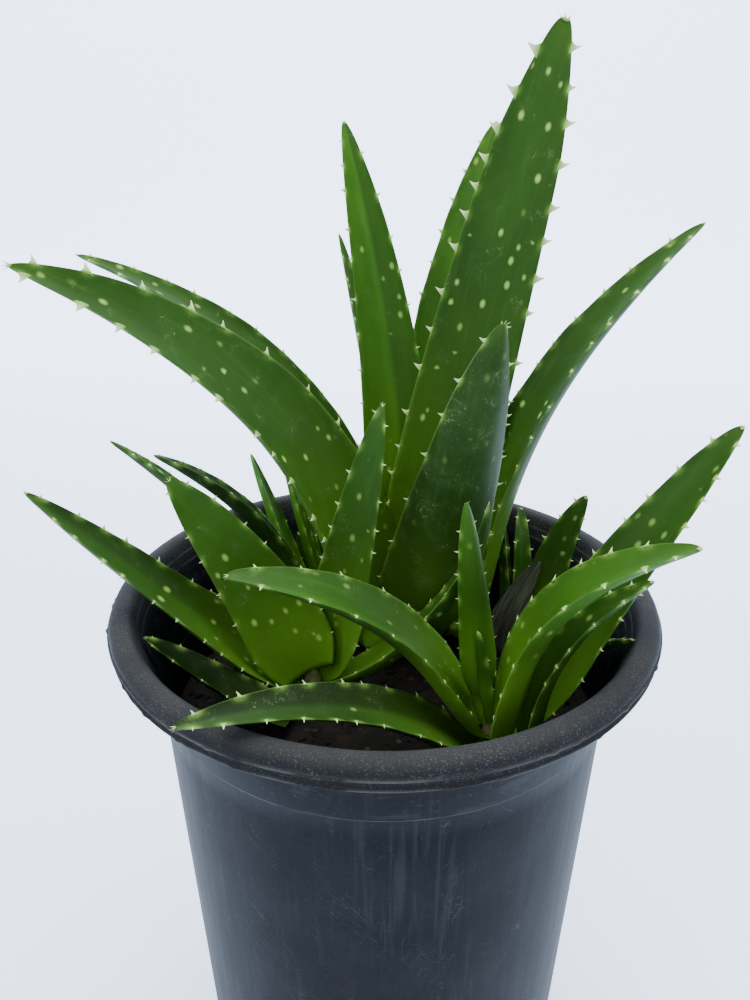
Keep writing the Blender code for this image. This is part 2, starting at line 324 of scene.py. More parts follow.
class Finish:
    """A material and the nodes that feed its Principled shader."""

    def __init__(self, name, roughness=0.5, specular=0.5, coat=0.0):
        self.material = bpy.data.materials.new(name)
        self.material.use_nodes = True
        self.tree = self.material.node_tree
        self.shader = self.tree.nodes["Principled BSDF"]
        self.shader.inputs["Roughness"].default_value = roughness
        self.shader.inputs["Specular IOR Level"].default_value = specular
        self.shader.inputs["Coat Weight"].default_value = coat

    def node(self, kind, settings, sockets, output=0):
        """Any node, from its type, its settings and what goes into its sockets."""
        made = self.tree.nodes.new(kind)
        for key, value in settings.items():
            setattr(made, key, value)
        for key, value in sockets.items():
            self.feed(made.inputs[key], value)
        return Value(self, made.outputs[output])

    def feed(self, socket, value):
        if isinstance(value, Value):
            self.tree.links.new(value.socket, socket)
        elif hasattr(value, "__len__") and len(socket.default_value) == 4:
            socket.default_value = (*value[:3], 1.0)
        else:
            socket.default_value = value

    def math(self, operation, *values):
        return self.node("ShaderNodeMath", {"operation": operation}, dict(enumerate(values)))

    def mix(self, factor, first, second, blend="MIX"):
        """Colour first where factor is 0, second where it is 1."""
        settings = {"data_type": "RGBA", "blend_type": blend, "clamp_factor": True}
        return self.node("ShaderNodeMix", settings, {0: factor, 6: first, 7: second}, output=2)

    def vector(self, x, y, z):
        return self.node("ShaderNodeCombineXYZ", {}, {0: x, 1: y, 2: z})

    def attribute(self, name):
        return self.node("ShaderNodeAttribute", {"attribute_name": name}, {}, output=1)

    def place(self):
        return self.node("ShaderNodeTexCoord", {}, {}, output=3)

    def noise(self, where, scale, detail=3.0, rough=0.5, warp=0.0):
        sockets = {"Vector": where, "Scale": scale, "Detail": detail}
        sockets |= {"Roughness": rough, "Distortion": warp}
        return self.node("ShaderNodeTexNoise", {"noise_dimensions": "3D"}, sockets)

    def cells(self, where, scale, output=0, flat=False, random=1.0):
        settings = {"voronoi_dimensions": "2D" if flat else "3D"}
        sockets = {"Vector": where, "Scale": scale, "Randomness": random}
        return self.node("ShaderNodeTexVoronoi", settings, sockets, output)

    def colour(self, value):
        self.feed(self.shader.inputs["Base Color"], value)

    def rough(self, value):
        self.feed(self.shader.inputs["Roughness"], value)

    def bump(self, height, strength, distance):
        sockets = {"Strength": strength, "Distance": distance, "Height": height}
        self.feed(self.shader.inputs["Normal"], self.node("ShaderNodeBump", {}, sockets))


# ---- mesh tools

def add_object(name, data):
    """A new object, linked to the scene."""
    made = bpy.data.objects.new(name, data)
    bpy.context.scene.collection.objects.link(made)
    return made


def new_piece(name, points, faces, replaced=None, finish=None, smooth=True):
    """A mesh object that rides on the body and stands for a CAD node."""
    mesh = bpy.data.meshes.new(name)
    mesh.from_pydata([tuple(p) for p in points], [], [tuple(int(i) for i in f) for f in faces])
    mesh.validate()
    mesh.update()
    if smooth:
        mesh.shade_smooth()
    piece = add_object(name, mesh)
    if finish:
        mesh.materials.append(finish.material)
    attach(piece, "root")
    if replaced:
        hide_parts(replaced)
    return piece


def store(piece, name, values):
    """Keeps a vector for each point of a piece, for its material to read."""
    made = piece.data.attributes.new(name, "FLOAT_VECTOR", "POINT")
    made.data.foreach_set("vector", np.asarray(values, np.float32).ravel())


def smooth_through(knots, values, wanted):
    """Values read from a smooth curve through the knots, with three-point tangents."""
    knots = np.asarray(knots, float)
    values = np.asarray(values, float)
    step = np.diff(knots)
    shape = (-1,) + (1,) * (values.ndim - 1)
    slope = np.diff(values, axis=0) / step.reshape(shape)
    tangent = np.empty_like(values)
    tangent[0] = slope[0]
    tangent[-1] = slope[-1]
    share = (step[:-1] / (step[:-1] + step[1:])).reshape(shape)
    tangent[1:-1] = (1.0 - share) * slope[:-1] + share * slope[1:]
    at = np.clip(np.searchsorted(knots, wanted, side="right") - 1, 0, len(knots) - 2)
    h = step[at].reshape(shape)
    t = ((wanted - knots[at]) / step[at]).reshape(shape)
    return ((1 + 2 * t) * (1 - t) ** 2 * values[at] + t * (1 - t) ** 2 * h * tangent[at]
            + t * t * (3 - 2 * t) * values[at + 1] + t * t * (t - 1) * h * tangent[at + 1])


def ring_faces(rings, count):
    """Faces between closed rings of equal count."""
    faces = []
    for ring in range(rings - 1):
        for i in range(count):
            j = (i + 1) % count
            low = ring * count
            faces.append((low + j, low + i, low + count + i, low + count + j))
    return faces


def end_faces(rings, count):
    """The faces that close the first and the last ring."""
    last = (rings - 1) * count
    return [tuple(range(count)), tuple(last + i for i in reversed(range(count)))]


def level_ring(turns, radius, z):
    """A level circle of points round the pot's axis."""
    return np.stack([radius * np.cos(turns), radius * np.sin(turns), np.full(len(turns), z)], axis=1)


def waves(seed, where, octaves=4, start=1.0):
    """A smooth repeatable wobble between about -1 and 1, for each row of where."""
    draw = np.random.default_rng(seed)
    total = np.zeros(len(where))
    for octave in range(octaves):
        for _ in range(4):
            way = draw.normal(size=where.shape[1])
            way /= np.linalg.norm(way)
            phase = draw.uniform(0, RANDOM_TURN)
            total += np.sin(where @ way * start * 2.0 ** octave + phase) * 0.5 ** octave
    return total / 4.0


def unit(vectors):
    return vectors / np.maximum(np.linalg.norm(vectors, axis=-1, keepdims=True), 1e-12)


# ---- leaves

def outline_order(ring):
    """The corners of one ring in order round it, from any start."""
    members = set(ring)
    beside = {}
    for corner in ring:
        beside[corner] = []
        for edge in corner.link_edges:
            other = edge.other_vert(corner)
            inner = sum(all(v in members for v in face.verts) for face in edge.link_faces)
            if other in members and inner <= 1:
                beside[corner].append(other)
    order = [ring[0]]
    while len(order) < len(ring):
        nexts = [v for v in beside[order[-1]] if v not in order]
        order.append(nexts[0])
    return np.array([v.co[:] for v in order])


def from_left_margin(points, towards_tip):
    """Turns a ring so that it starts at the left margin and crosses the top face first."""
    after = np.roll(points, -1, axis=0)
    if np.cross(points, after).sum(axis=0) @ towards_tip > 0:
        points = points[::-1]
    before = unit(np.roll(points, 1, axis=0) - points)
    after = unit(np.roll(points, -1, axis=0) - points)
    sharp = (before * after).sum(axis=1)
    start = int(np.argmax(sharp + np.roll(sharp, -RIGHT_CORNER)))
    return np.roll(points, -start, axis=0)


def leaf_rings(node):
    """A CAD leaf's rings from foot to tip, each starting at its left margin, and its tip."""
    skin = bmesh.new()
    skin.from_mesh(frame["nodes"][node].data)
    bmesh.ops.remove_doubles(skin, verts=skin.verts[:], dist=2e-6)
    tip = next(v for v in skin.verts if len(v.link_edges) == RING_CORNERS)
    seen = {tip}
    ring = [tip]
    rings = []
    while ring:
        following = []
        for corner in ring:
            for edge in corner.link_edges:
                other = edge.other_vert(corner)
                if other not in seen:
                    seen.add(other)
                    following.append(other)
        if following:
            rings.append(outline_order(following))
        ring = following
    tip_point = np.array(tip.co[:])
    skin.free()
    rings = rings[::-1]
    middles = [r.mean(axis=0) for r in rings] + [tip_point]
    ordered = [from_left_margin(r, middles[i + 1] - middles[i]) for i, r in enumerate(rings)]
    return np.array(ordered), tip_point


def fine_face(corners):
    """Smooth points across one face of each ring, from margin to margin."""
    last = corners.shape[1] - 1
    wanted = np.linspace(0, last, last * SPANS + 1)
    return smooth_through(np.arange(last + 1), corners.transpose(1, 0, 2), wanted).transpose(1, 0, 2)


class Blade:
    """A leaf's smooth skin: points on a grid of rings, with its place along and across."""

    def __init__(self, node, step, core):
        rings, tip = leaf_rings(node)
        left = rings[:, 0]
        right = rings[:, RIGHT_CORNER]
        centre = 0.5 * (left + right)
        half = 0.5 * np.linalg.norm(right - left, axis=1)
        line = np.vstack([centre, tip])
        run = np.concatenate([[0.0], np.cumsum(np.linalg.norm(np.diff(line, axis=0), axis=1))])
        self.length = run[-1]
        knots = run / self.length
        count = max(LEAST_RINGS, int(self.length / step))
        self.share = 1.0 - (1.0 - np.linspace(0.0, 1.0, count)) ** TIP_CROWDING
        self.share[-1] = LAST_SHARE
        self.centre = smooth_through(knots, line, self.share)
        self.half = self.half_widths(knots, half, NOSES.get(node, USUAL_NOSE))
        self.along = unit(np.gradient(self.centre, axis=0))
        shape = (rings - centre[:, None]) / half[:, None, None]
        self.finish_rings(smooth_through(knots, np.concatenate([shape, shape[-1:]]), self.share))
        if core is not None:
            self.add_sheath(core)

    def half_widths(self, knots, half, nose):
        """Half the width at each ring: it runs out to a point and is drawn in towards the tip."""
        fall = math.log(half[-2] / half[-1]) / math.log((1 - knots[-3]) / (1 - knots[-2]))
        fall = min(max(fall, FALL_LEAST), FALL_MOST)
        body = half / (1.0 - knots[:-1]) ** fall
        width = smooth_through(knots, np.append(body, body[-1]), self.share) * (1.0 - self.share) ** fall
        width *= 1.0 - nose * np.clip((self.share - NOSE_START) / NOSE_RUN, 0.0, 1.0) ** 1.5
        return np.maximum(width, LEAST_HALF)

    def finish_rings(self, corners):
        """Fine rings from the ten corners: smooth top, smooth underside, a corner at each margin."""
        top = fine_face(corners[:, :RIGHT_CORNER + 1])
        under = fine_face(np.concatenate([corners[:, RIGHT_CORNER:], corners[:, :1]], axis=1))
        ring = np.concatenate([top, under[:, 1:-1]], axis=1)
        self.count = ring.shape[1]
        self.right_index = top.shape[1] - 1
        self.points = self.centre[:, None] + ring * self.half[:, None, None]
        reach = unit(self.points[:, self.right_index] - self.points[:, 0])
        self.aside = reach
        self.up = unit(np.cross(self.along, reach))
        offset = self.points - self.centre[:, None]
        self.across = (offset * reach[:, None]).sum(axis=2)
        side = np.zeros(self.count)
        side[self.right_index + 1:] = 1.0
        self.side = np.repeat(side[None], len(self.share), axis=0)

    def add_sheath(self, core):
        """Carries the foot on to the rosette's middle, where leaf bases wrap each other."""
        foot = self.points[0]
        middle = self.centre[0]
        rings = []
        for step in SHEATH_STEPS:
            swell = 1.0 + 0.25 * math.sin(math.pi * step)
            size = (0.55 + 0.45 * (1.0 - step)) * swell
            at = middle + (np.asarray(core) - middle) * step
            rings.append(at + (foot - middle) * size)
        self.points = np.concatenate([np.array(rings), self.points])
        for name in ("share", "centre", "half", "along", "aside", "up", "across", "side"):
            rows = getattr(self, name)
            setattr(self, name, np.concatenate([np.repeat(rows[:1], len(rings), axis=0), rows]))

    def edge(self):
        """0 on the middle line and 1 on the margins."""
        away = np.abs(self.across)
        return away / np.maximum(away.max(axis=1, keepdims=True), 1e-9)

    def relief(self, seed, height):
        """Long shallow flutes and a gentle wave along the margins."""
        where = np.stack([
            self.across.ravel() / (3.5 * MM),
            np.repeat(self.share * self.length, self.count) / (38 * MM),
            self.side.ravel() * 3.0,
        ], axis=1)
        flutes = waves(seed, where).reshape(self.across.shape)
        raised = self.up[:, None] * self.half[:, None, None] * 0.2
        outward = unit(self.points - self.centre[:, None] + raised)
        fade = np.clip(self.half / (6 * MM), 0.1, 1.0)[:, None, None]
        self.points += outward * (flutes * height)[..., None] * fade
        wave = waves(seed + 7, self.share[:, None] * self.length / (9 * MM), octaves=3)
        lift = (self.edge() ** 6)[..., None] * self.up[:, None] * (wave * 0.45 * MM)[:, None, None]
        self.points += lift * fade

    def skin(self):
        """The blade's points and faces."""
        rings = len(self.points)
        return self.points.reshape(-1, 3), ring_faces(rings, self.count) + end_faces(rings, self.count)


def tooth(foot, outward, along, up, length, base):
    """A curved tooth: wide at its base, bent towards the leaf's tip."""
    points = []
    for height, width, lean, _ in TOOTH_RINGS:
        at = foot + outward * (height * (length + TOOTH_SINK) - TOOTH_SINK) + along * (lean * length)
        for i in range(TOOTH_SIDES):
            angle = 2.0 * math.pi * i / TOOTH_SIDES
            wide = along * (math.cos(angle) * width * base)
            thick = up * (math.sin(angle) * width * base * 0.34)
            points.append(at + wide + thick)
    points.append(foot + outward * length + along * (0.5 * length))
    faces = ring_faces(len(TOOTH_RINGS), TOOTH_SIDES)
    last = (len(TOOTH_RINGS) - 1) * TOOTH_SIDES
    faces += [(last + (i + 1) % TOOTH_SIDES, last + i, len(points) - 1) for i in range(TOOTH_SIDES)]
    faces.append(tuple(range(TOOTH_SIDES)))
    return points, faces


def margin_teeth(blade, seed, settings, scale):
    """Teeth along both margins, larger towards the tip, three round the tip, and where each stands."""
    draw = np.random.default_rng(seed)
    widest = blade.half.max() / BROAD_HALF
    step = settings.tooth_step * (0.48 + 0.52 * widest)
    length = settings.tooth_length * (0.5 + 0.5 * widest) * scale
    run = blade.share * blade.length
    found = []
    stands = []
    for index, way in ((0, -1.0), (blade.right_index, 1.0)):
        at = step * draw.uniform(0.6, 1.2)
        while at < blade.length * 0.985:
            ring = int(np.clip(np.searchsorted(run, at), 1, len(run) - 2))
            outward = unit(blade.aside[ring] * way + blade.up[ring] * draw.uniform(-0.05, 0.3))
            size = length * draw.uniform(0.7, 1.15) * (0.65 + 0.5 * at / blade.length)
            size *= min(1.0, 0.5 + blade.half[ring] / (6 * MM))
            foot = blade.points[ring, index]
            found.append(tooth(foot, outward, blade.along[ring], blade.up[ring], size, size * 0.66))
            stands.append((index, at))
            at += step * draw.uniform(0.65, 1.3) * (1.0 - 0.15 * at / blade.length)
    end = len(run) - 1
    for lean in (-0.9, 0.0, 0.9):
        outward = unit(blade.along[end] + blade.aside[end] * lean)
        foot = blade.centre[end - 2] + blade.aside[end] * lean * blade.half[end - 2] * 0.6
        along = blade.along[end] * 0.3 + blade.aside[end] * 0.7
        found.append(tooth(foot, outward, along, blade.up[end], length * 0.75, length * 0.34))
    return found, stands


def tooth_glow(blade, stands):
    """How near each point of the blade is to a tooth's foot, from 0 to 1."""
    glow = np.zeros(blade.across.shape)
    run = blade.share * blade.length
    for index, at in stands:
        side = np.linalg.norm(blade.points - blade.points[:, index:index + 1], axis=2) / MM
        away = (run - at)[:, None] / (1.5 * MM)
        glow = np.maximum(glow, np.exp(-side ** 2 - away ** 2))
    return glow


def painted_fold_shade(blade, node):
    """Paints shade on one side of a leaf's upper face, beyond the fold's place."""
    place, dark = PAINTED_FOLD_SHADE.get(node, (0.0, 0.0))
    across = -blade.across / np.maximum(blade.half[:, None], 1e-9)
    beyond = np.clip((across - place) / 0.12 + 0.5, 0.0, 1.0) * (1.0 - blade.side)
    return 1.0 - dark * beyond


def build_leaf(node, finish, settings, seed, flute=0.12 * MM, with_teeth=True, core=None):
    """One leaf: its skin, its teeth and the places its material reads."""
    youth, dust, spots, painted_brightness, bite = CHARACTER.get(node, USUAL_CHARACTER)
    blade = Blade(node, settings.ring_step, core)
    blade.relief(seed, flute)
    points, faces = blade.skin()
    count = blade.count
    rows = len(blade.points)
    place = np.stack([
        blade.across.ravel() / MM,
        np.repeat(blade.share * blade.length, count) / MM,
        np.full(rows * count, float(seed))], axis=1)
    share = np.stack([blade.edge().ravel(), np.repeat(blade.share, count), blade.side.ravel()], axis=1)
    points = list(points)
    places = list(place)
    shares = list(share)
    horn = [0.0] * len(points)
    glow = [0.0] * len(points)
    if with_teeth:
        teeth, stands = margin_teeth(blade, seed, settings, bite)
        glow = list(tooth_glow(blade, stands).ravel())
        for tooth_points, tooth_faces in teeth:
            first = len(points)
            points += tooth_points
            faces += [tuple(first + i for i in face) for face in tooth_faces]
            places += [(0.0, 0.0, float(seed))] * len(tooth_points)
            shares += [(1.0, 0.5, 0.0)] * len(tooth_points)
            horn += [ring[3] for ring in TOOTH_RINGS for _ in range(TOOTH_SIDES)] + [1.0]
            glow += [1.0] * len(tooth_points)
    piece = new_piece(node + "_blade", points, faces, node, finish)
    store(piece, "leaf_place", places)
    store(piece, "leaf_share", shares)
    total = len(points)
    store(piece, "leaf_nature", np.stack([np.full(total, youth), np.full(total, dust), horn], axis=1))
    # Painted light and shade for each point: the leaf's brightness factor times its painted fold shade
    painted_brightness_by_point = np.full(total, painted_brightness)
    painted_brightness_by_point[:rows * count] *= painted_fold_shade(blade, node).ravel()
    store(piece, "leaf_marks_and_painted_light", np.stack([np.full(total, spots), painted_brightness_by_point, glow], axis=1))
    return piece


def leaf_finish(settings):
    """Waxy green skin: pale foot, spots, horny margin, dust and fine scars, with each leaf's painted light
    and shade.
    """
    skin = Finish("aloe_leaf_skin", roughness=0.42, specular=0.10)
    across, along, seed = skin.attribute("leaf_place").parts()
    edge, share, under = skin.attribute("leaf_share").parts()
    youth, dust, horn = skin.attribute("leaf_nature").parts()
    spotty, painted_brightness, glow = skin.attribute("leaf_marks_and_painted_light").parts()
    layer = seed * 13.7 + under * 5.3
    flat = skin.vector(across, along, layer)
    streak = skin.noise(skin.vector(across, along * 0.09, layer), 0.55, detail=4.0)
    cloud = skin.noise(skin.vector(across, along * 0.5, layer), 0.07, detail=3.0, warp=0.6)

    blade = skin.mix(youth, settings.old_colour, settings.young_colour)
    blade = skin.mix(under * (1.0 - youth * 0.8) * 0.75, blade, settings.under_colour)
    foot = (1.0 - share.ramp(0.05, 0.58)) * (0.50 + youth * 0.50)
    blade = skin.mix(foot * (0.45 + cloud * 0.8), blade, settings.foot_colour)
    blade = skin.mix((cloud - 0.5) * 0.9 + 0.2, blade, (0.006, 0.028, 0.003))
    blade = skin.mix(streak.ramp(0.50, 0.78) * 0.18, blade, (0.07, 0.18, 0.03))
    tip = share.ramp(0.90, 1.0)
    blade = skin.mix(tip * 0.25, blade, (0.07, 0.16, 0.02))
    # Painted light and shade: the blade's colour is scaled by the leaf's brightness factor and its painted
    # fold shade
    blade = skin.mix(1.0, blade, skin.vector(painted_brightness, painted_brightness, painted_brightness), "MULTIPLY")

    spots = leaf_spots(skin, across, along, layer, edge, share) * spotty
    blade = skin.mix(spots, blade, settings.spot_colour)

    specks = skin.noise(flat, 2.6, detail=2.0).ramp(0.63, 0.76)
    haze = skin.noise(flat, 0.16, detail=4.0).ramp(0.40, 0.75)
    dusty = dust * (specks * 0.50 + haze * 0.08)
    scars = leaf_scars(skin, flat) * (0.25 + dust * 0.8)
    blade = skin.mix(dusty, blade, (0.12, 0.21, 0.07))
    blade = skin.mix(scars, blade, (0.28, 0.38, 0.18))

    rim = edge.ramp(0.965, 0.998)
    blade = skin.mix(rim * 0.35, blade, (0.16, 0.32, 0.06))
    blade = skin.mix(glow * 0.65, blade, (0.26, 0.50, 0.09))
    blade = skin.mix(horn, blade, settings.tooth_colour)
    skin.colour(blade)
    skin.rough(0.44 + dusty * 0.35 + scars * 0.2 + streak * 0.12)
    fine = skin.noise(skin.vector(across, along * 0.25, layer), 3.2, detail=3.0)
    skin.bump(streak * 0.7 + fine * 0.35 + spots * 0.5 + scars * 0.5 + specks * dust * 0.3, 0.30, 0.25 * MM)
    return skin


def leaf_spots(skin, across, along, layer, edge, share):
    """Pale oblong spots, about 1.5 by 3 mm, thickened into loose rows across the leaf."""
    where = skin.vector(across / 5.0 + layer * 7.1, along / 8.0 + layer * 3.3, 0.0)
    near = skin.cells(where, 1.0, flat=True, random=0.8)
    pick = skin.cells(where, 1.0, output=1, flat=True, random=0.8).parts()
    rows = skin.noise(skin.vector(across * 0.02, along / 13.0, layer), 1.0, detail=1.0).ramp(0.46, 0.58)
    chosen = (pick[0] - (0.93 - rows * 0.48)).ramp(0.0, 0.12)
    size = 0.07 + pick[1] * 0.08
    dot = 1.0 - (near - size).ramp(-0.10, 0.09)
    clear = (1.0 - edge.ramp(0.80, 0.93)) * share.ramp(0.03, 0.1) * (1.0 - share.ramp(0.93, 0.99))
    return dot * chosen * clear * 0.80


def leaf_scars(skin, flat):
    """Short curly scratches in patches."""
    field = skin.noise(flat, 0.24, detail=0.8, warp=1.6)
    line = field.line_at(0.5, 0.0015, 0.008)
    small = skin.noise(flat, 0.55, detail=0.6, warp=1.2).line_at(0.5, 0.003, 0.012)
    patch = skin.noise(flat, 0.16, detail=2.0).ramp(0.56, 0.68)
    return (line * patch + small * patch * patch * 0.5) * 0.6


def dry_finish():
    """Shrunken grey-brown skin with long folds."""
    skin = Finish("aloe_dry_skin", roughness=0.7, specular=0.3)
    across, along, seed = skin.attribute("leaf_place").parts()
    folds = skin.noise(skin.vector(across * 1.4, along * 0.08, seed), 0.9, detail=4.0)
    blotch = skin.noise(skin.vector(across, along * 0.6, seed), 0.3, detail=4.0)
    tone = skin.mix(folds.ramp(0.35, 0.7), (0.018, 0.024, 0.015), (0.075, 0.085, 0.055))
    tone = skin.mix(blotch.ramp(0.5, 0.7) * 0.6, tone, (0.045, 0.038, 0.024))
    skin.colour(tone)
    skin.rough(0.6 + folds * 0.25)
    skin.bump(folds, 0.7, 0.6 * MM)
    return skin


def plant_core(node):
    """The middle of a leaf's rosette, low between the leaf feet."""
    plant = next(plant for plant in PLANTS if node.startswith(plant))
    low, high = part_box(plant + "_stem")
    return np.array([(low.x + high.x) / 2, (low.y + high.y) / 2, MIX_HIGH.z + 3 * MM])


class ALOE_OT_leaves(bpy.types.Operator):
    """Build the green leaves with their teeth"""
    bl_idname = "aloe.leaves"
    bl_label = "Green leaves"

    def execute(self, context):
        settings = context.scene.aloe_leaf
        finish = leaf_finish(settings)
        for number, node in enumerate(GREEN_LEAVES):
            core = plant_core(node)
            build_leaf(node, finish, settings, number + 3, core=core)
        return {"FINISHED"}


class ALOE_OT_dry_leaf(bpy.types.Operator):
    """Build the dry leaf"""
    bl_idname = "aloe.dry_leaf"
    bl_label = "Dry leaf"

    def execute(self, context):
        settings = context.scene.aloe_leaf
        build_leaf(DRY_LEAF, dry_finish(), settings, 91, flute=0.7 * MM, with_teeth=False)
        return {"FINISHED"}


# ---- stems

def stem_finish():
    """Matt pale stem with rings where old leaves have come away."""
    bark = Finish("aloe_stem_bark", roughness=0.65, specular=0.3)
    place = bark.place()
    x, y, z = place.parts()
    rings = bark.noise(bark.vector(x * 0.2, y * 0.2, z), 900.0, detail=2.0)
    blotch = bark.noise(place, 260.0, detail=4.0)
    tone = bark.mix(rings.ramp(0.4, 0.65), (0.16, 0.20, 0.06), (0.24, 0.24, 0.11))
    tone = bark.mix(blotch.ramp(0.55, 0.7) * 0.6, tone, (0.05, 0.04, 0.02))
    bark.colour(tone)
    bark.rough(0.55 + blotch * 0.25)
    bark.bump(rings + blotch * 0.5, 0.5, 0.5 * MM)
    return bark


def build_stem(plant, finish):
    """A short stem: a domed top, leaf-scar rings and a foot in the mix."""
    low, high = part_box(plant + "_stem")
    centre = np.array([(low.x + high.x) / 2, (low.y + high.y) / 2])
    radius = 0.5 * (high.x - low.x)
    points = []
    for row in range(STEM_ROWS):
        share = (row + 0.5) / STEM_ROWS
        z = low.z + (high.z - low.z) * share
        girth = radius * math.sin(math.pi * share) ** 0.45
        girth *= 1.0 + 0.05 * math.sin(share * 40.0)
        for i in range(STEM_SIDES):
            angle = 2.0 * math.pi * i / STEM_SIDES
            lump = 1.0 + 0.04 * math.sin(3 * angle + row) + 0.02 * math.sin(7 * angle - row * 2)
            x = centre[0] + girth * lump * math.cos(angle)
            y = centre[1] + girth * lump * math.sin(angle)
            points.append((x, y, z))
    faces = ring_faces(STEM_ROWS, STEM_SIDES) + end_faces(STEM_ROWS, STEM_SIDES)
    faces = [face[::-1] for face in faces]
    return new_piece(plant + "_stem_bark", points, faces, plant + "_stem", finish)


class ALOE_OT_stems(bpy.types.Operator):
    """Build the short stems under the rosettes"""
    bl_idname = "aloe.stems"
    bl_label = "Stems"

    def execute(self, context):
        finish = stem_finish()
        for plant in PLANTS:
            build_stem(plant, finish)
        return {"FINISHED"}


# ---- potting mix

def mix_finish(settings):
    """Damp peat with lighter bark and a few white grains."""
    soil = Finish("potting_mix_crumb", roughness=0.9, specular=0.25)
    place = soil.place()
    lump = soil.noise(place, 120.0, detail=6.0, rough=0.65)
    grain = soil.cells(place, 420.0)
    pick = soil.cells(place, 420.0, output=1).parts()
    tone = soil.mix(lump.ramp(0.35, 0.7), settings.peat, settings.bark)
    chips = pick[0].ramp(0.90, 0.96) * (1.0 - grain.ramp(0.25, 0.45)) * 0.8
    tone = soil.mix(chips, tone, (0.05, 0.04, 0.028))
    grains = pick[1].ramp(0.975, 0.99) * (1.0 - grain.ramp(0.25, 0.4))
    tone = soil.mix(grains, tone, (0.16, 0.15, 0.13))
    soil.colour(tone)
    soil.rough(0.75 + lump * 0.25)
    soil.bump(lump + grain * 0.4, 0.8, 1.0 * MM)
    return soil


def build_mix(settings, finish):
    """A plug of mix with a crumbly dished top and loose crumbs of bark."""
    top_r = wall_inside(MIX_HIGH.z) - 0.5 * MM
    foot_r = wall_inside(MIX_LOW.z) - 1.6 * MM
    turns = np.linspace(0, 2 * math.pi, MIX_SIDES, endpoint=False)
    reach = np.linspace(0.012, 1.0, MIX_RINGS)
    top = np.concatenate([
        level_ring(turns, top_r * share, MIX_HIGH.z - MIX_DISH * share ** 2) for share in reach])
    lumps = waves(11, top[:, :2] / (7 * MM), octaves=5)
    calm = np.repeat(np.clip((1.0 - reach) * 12.0, 0.2, 1.0), MIX_SIDES)
    top[:, 2] += lumps * settings.relief * calm - 0.4 * MM
    side = [
        level_ring(turns, top_r - 0.3 * MM, MIX_HIGH.z - 12 * MM),
        level_ring(turns, foot_r, MIX_LOW.z + 2 * MM),
        level_ring(turns, foot_r * 0.9, MIX_LOW.z),
    ]
    rings = MIX_RINGS + len(side)
    faces = ring_faces(rings, MIX_SIDES) + end_faces(rings, MIX_SIDES)
    points = [tuple(p) for p in np.concatenate([top, *side])]
    add_crumbs(points, faces, settings, top_r)
    return new_piece("potting_mix_top", points, faces, "potting_mix", finish, smooth=False)


def add_crumbs(points, faces, settings, top_r):
    """Loose flat crumbs of bark and peat, half sunk in the mix."""
    draw = np.random.default_rng(5)
    shape = bmesh.new()
    bmesh.ops.create_icosphere(shape, subdivisions=1, radius=1.0)
    ball = np.array([v.co[:] for v in shape.verts])
    skin = [tuple(v.index for v in f.verts) for f in shape.faces]
    shape.free()
    for _ in range(settings.crumbs):
        r = (top_r - 2.5 * MM) * math.sqrt(draw.uniform(0, 1))
        turn = draw.uniform(0, 2 * math.pi)
        size = settings.crumb_size * draw.uniform(0.18, 1.0) ** 1.6 * 0.5
        scale = size * draw.uniform([0.8, 0.4, 0.25], [1.6, 0.9, 0.6])
        lump = ball * (1.0 + draw.uniform(-0.25, 0.25, (len(ball), 1))) * scale
        spin, tilt = draw.uniform(0, RANDOM_TURN), draw.uniform(-0.6, 0.6)
        c, s = math.cos(spin), math.sin(spin)
        turn_z = np.array([[c, -s, 0], [s, c, 0], [0, 0, 1]])
        c, s = math.cos(tilt), math.sin(tilt)
        turn_x = np.array([[1, 0, 0], [0, c, -s], [0, s, c]])
        z = MIX_HIGH.z - MIX_DISH * (r / top_r) ** 2
        at = np.array([r * math.cos(turn), r * math.sin(turn), z])
        first = len(points)
        points += [tuple(p) for p in lump @ turn_x.T @ turn_z.T + at]
        faces += [tuple(first + i for i in face) for face in skin]


class ALOE_OT_mix(bpy.types.Operator):
    """Build the potting mix"""
    bl_idname = "aloe.mix"
    bl_label = "Potting mix"

    def execute(self, context):
        settings = context.scene.aloe_mix
        build_mix(settings, mix_finish(settings))
        return {"FINISHED"}


# ---- pot


def wall_outside(z):
    """Outer radius of the pot's wall at a height."""
    return LIP_R * (WALL_FOOT_R + (WALL_TOP_R - WALL_FOOT_R) * z / (RIM_Z - WALL_TOP_DROP * MM))


def wall_inside(z):
    return wall_outside(z) - WALL


def pot_profile(settings):
    """Radius and height down the outside and under the floor, then over the floor and up the inside."""
    outside = [(LIP_R - d * MM, RIM_Z - h * MM) for d, h in RIM_OUTSIDE]
    step_z = RIM_Z - STEP_DROP * MM
    outside += [(wall_outside(step_z + 8 * MM) + STEP_DEPTH * MM, step_z + 8 * MM),
                (wall_outside(step_z) + STEP_DEPTH * MM, step_z + 0.4 * MM),
                (wall_outside(step_z) + 0.3 * MM, step_z),
                (wall_outside(step_z), step_z - 0.5 * MM)]
    for share in np.linspace(0.95, 0.06, 16):
        outside.append((wall_outside(step_z * share), step_z * share))
    outside += [(wall_outside(0.003), 3.0 * MM), (wall_outside(0) - 0.5 * MM, 1.0 * MM),
                (wall_outside(0) - 1.6 * MM, 0.0)]
    outside += [(wall_outside(0) * share, 0.0) for share in (0.8, 0.5, 0.2, 0.01)]
    inside = [(wall_inside(0) * share, settings.floor) for share in (0.01, 0.2, 0.5, 0.8, 0.96)]
    inside += [(wall_inside(z), z) for z in np.linspace(5 * MM, step_z, 12)]
    inside += [(LIP_R - d * MM, RIM_Z - h * MM) for d, h in reversed(RIM_INSIDE)]
    return outside, inside


